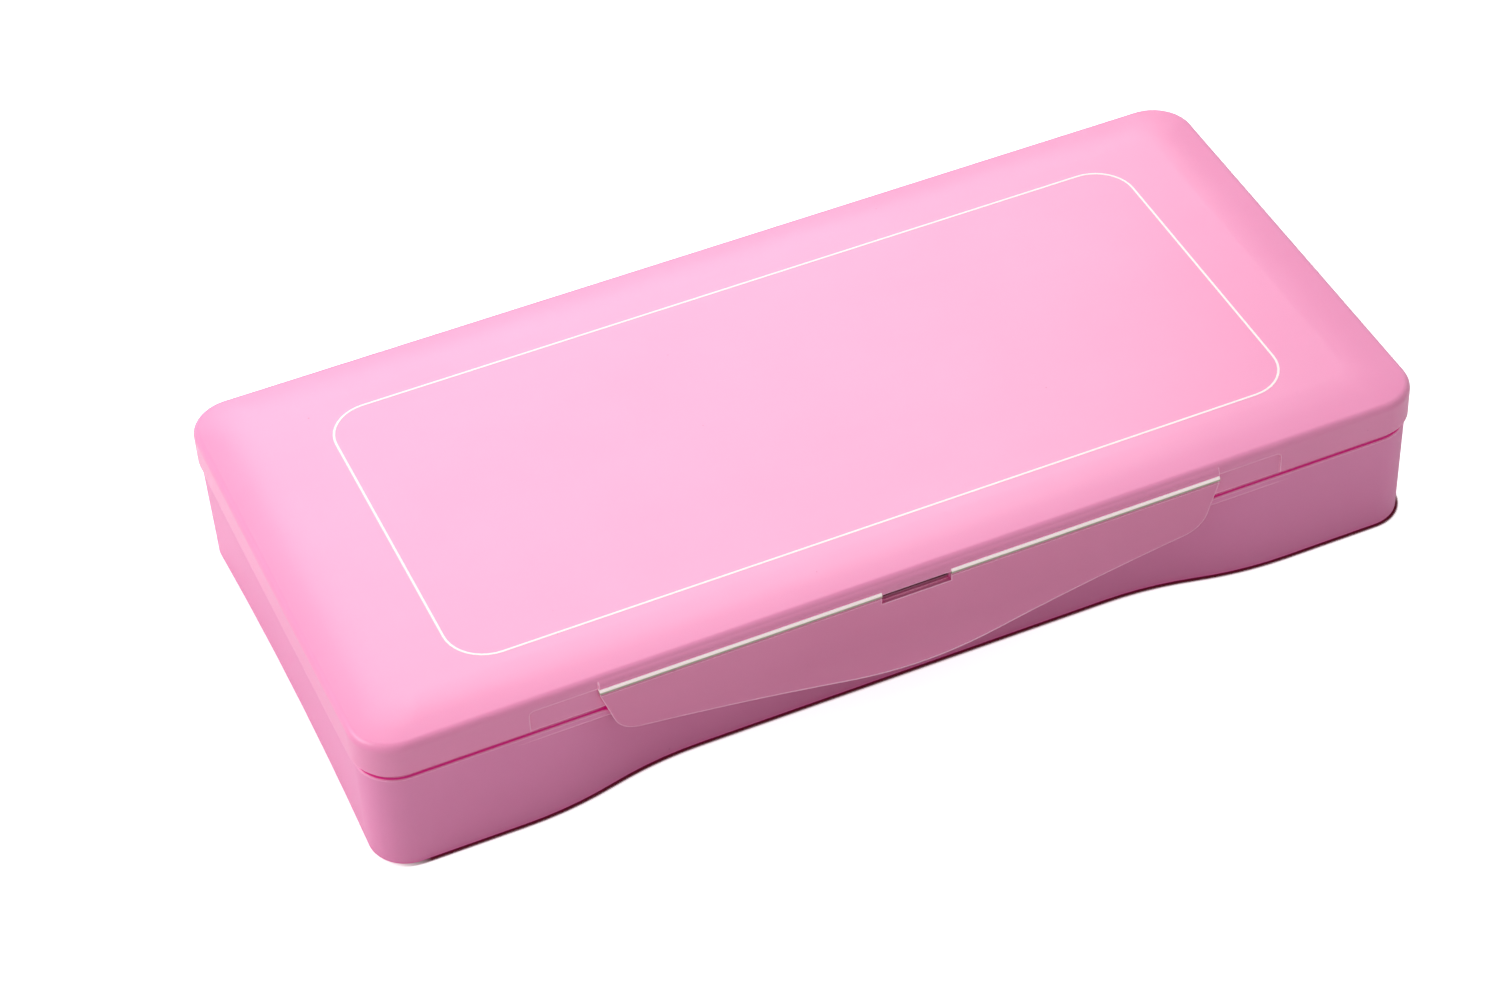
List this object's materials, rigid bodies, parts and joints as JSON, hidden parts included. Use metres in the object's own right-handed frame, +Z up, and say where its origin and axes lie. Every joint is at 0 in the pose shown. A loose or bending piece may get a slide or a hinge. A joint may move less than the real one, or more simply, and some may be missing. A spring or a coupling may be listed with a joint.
{
  "type": "gouache paint set box",
  "caption": "Low moulded paint box with a crowned hinged lid, wide folding latches and a grid of open cups of gouache.",
  "frame": {"origin": "middle of the underside of the base", "axes": "+X along the length, +Y from the front latch to the rear latch, +Z up through the lid"},
  "size_m": [0.305, 0.1534, 0.046],
  "materials": {
    "case_plastic": "satin moulded polypropylene",
    "lid_plastic": "satin moulded polypropylene",
    "whitened_web": "stress-whitened polypropylene",
    "cup_plastic": "thin translucent moulded plastic",
    "paint_01": "moist gouache",
    "paint_02": "moist gouache",
    "paint_03": "moist gouache",
    "paint_04": "moist gouache",
    "paint_05": "moist gouache",
    "paint_06": "moist gouache",
    "paint_07": "moist gouache",
    "paint_08": "moist gouache",
    "paint_09": "moist gouache",
    "paint_10": "moist gouache",
    "paint_11": "moist gouache",
    "paint_12": "moist gouache",
    "paint_13": "moist gouache",
    "paint_14": "moist gouache",
    "paint_15": "moist gouache",
    "paint_16": "moist gouache",
    "paint_17": "moist gouache",
    "paint_18": "moist gouache"
  },
  "bodies": {
    "base": {"base_shell": "case_plastic", "cup_01": "cup_plastic", "cup_02": "cup_plastic", "cup_03": "cup_plastic", "cup_04": "cup_plastic", "cup_05": "cup_plastic", "cup_06": "cup_plastic", "cup_07": "cup_plastic", "cup_08": "cup_plastic", "cup_09": "cup_plastic", "cup_10": "cup_plastic", "cup_11": "cup_plastic", "cup_12": "cup_plastic", "cup_13": "cup_plastic", "cup_14": "cup_plastic", "cup_15": "cup_plastic", "cup_16": "cup_plastic", "cup_17": "cup_plastic", "cup_18": "cup_plastic", "paint_01": "paint_01", "paint_02": "paint_02", "paint_03": "paint_03", "paint_04": "paint_04", "paint_05": "paint_05", "paint_06": "paint_06", "paint_07": "paint_07", "paint_08": "paint_08", "paint_09": "paint_09", "paint_10": "paint_10", "paint_11": "paint_11", "paint_12": "paint_12", "paint_13": "paint_13", "paint_14": "paint_14", "paint_15": "paint_15", "paint_16": "paint_16", "paint_17": "paint_17", "paint_18": "paint_18"},
    "lid": {"lid_shell": "lid_plastic", "front_web_left": "whitened_web", "front_web_right": "whitened_web", "rear_web_left": "whitened_web", "rear_web_right": "whitened_web"},
    "front_latch": {"front_latch": "lid_plastic"},
    "rear_latch": {"rear_latch": "lid_plastic"}
  },
  "joints": [
    {"name": "lid_hinge", "type": "hinge", "parent": "base", "child": "lid", "pos_m": [0, 0.07275, 0.0404], "axis": [-1, 0, 0], "range_deg": [0, 105]},
    {"name": "front_latch_hinge", "type": "hinge", "parent": "lid", "child": "front_latch", "pos_m": [0, -0.07275, 0.0404], "axis": [-1, 0, 0], "range_deg": [0, 130]},
    {"name": "rear_latch_hinge", "type": "hinge", "parent": "base", "child": "rear_latch", "pos_m": [0, 0.07275, 0.0404], "axis": [1, 0, 0], "range_deg": [0, 25]}
  ]
}
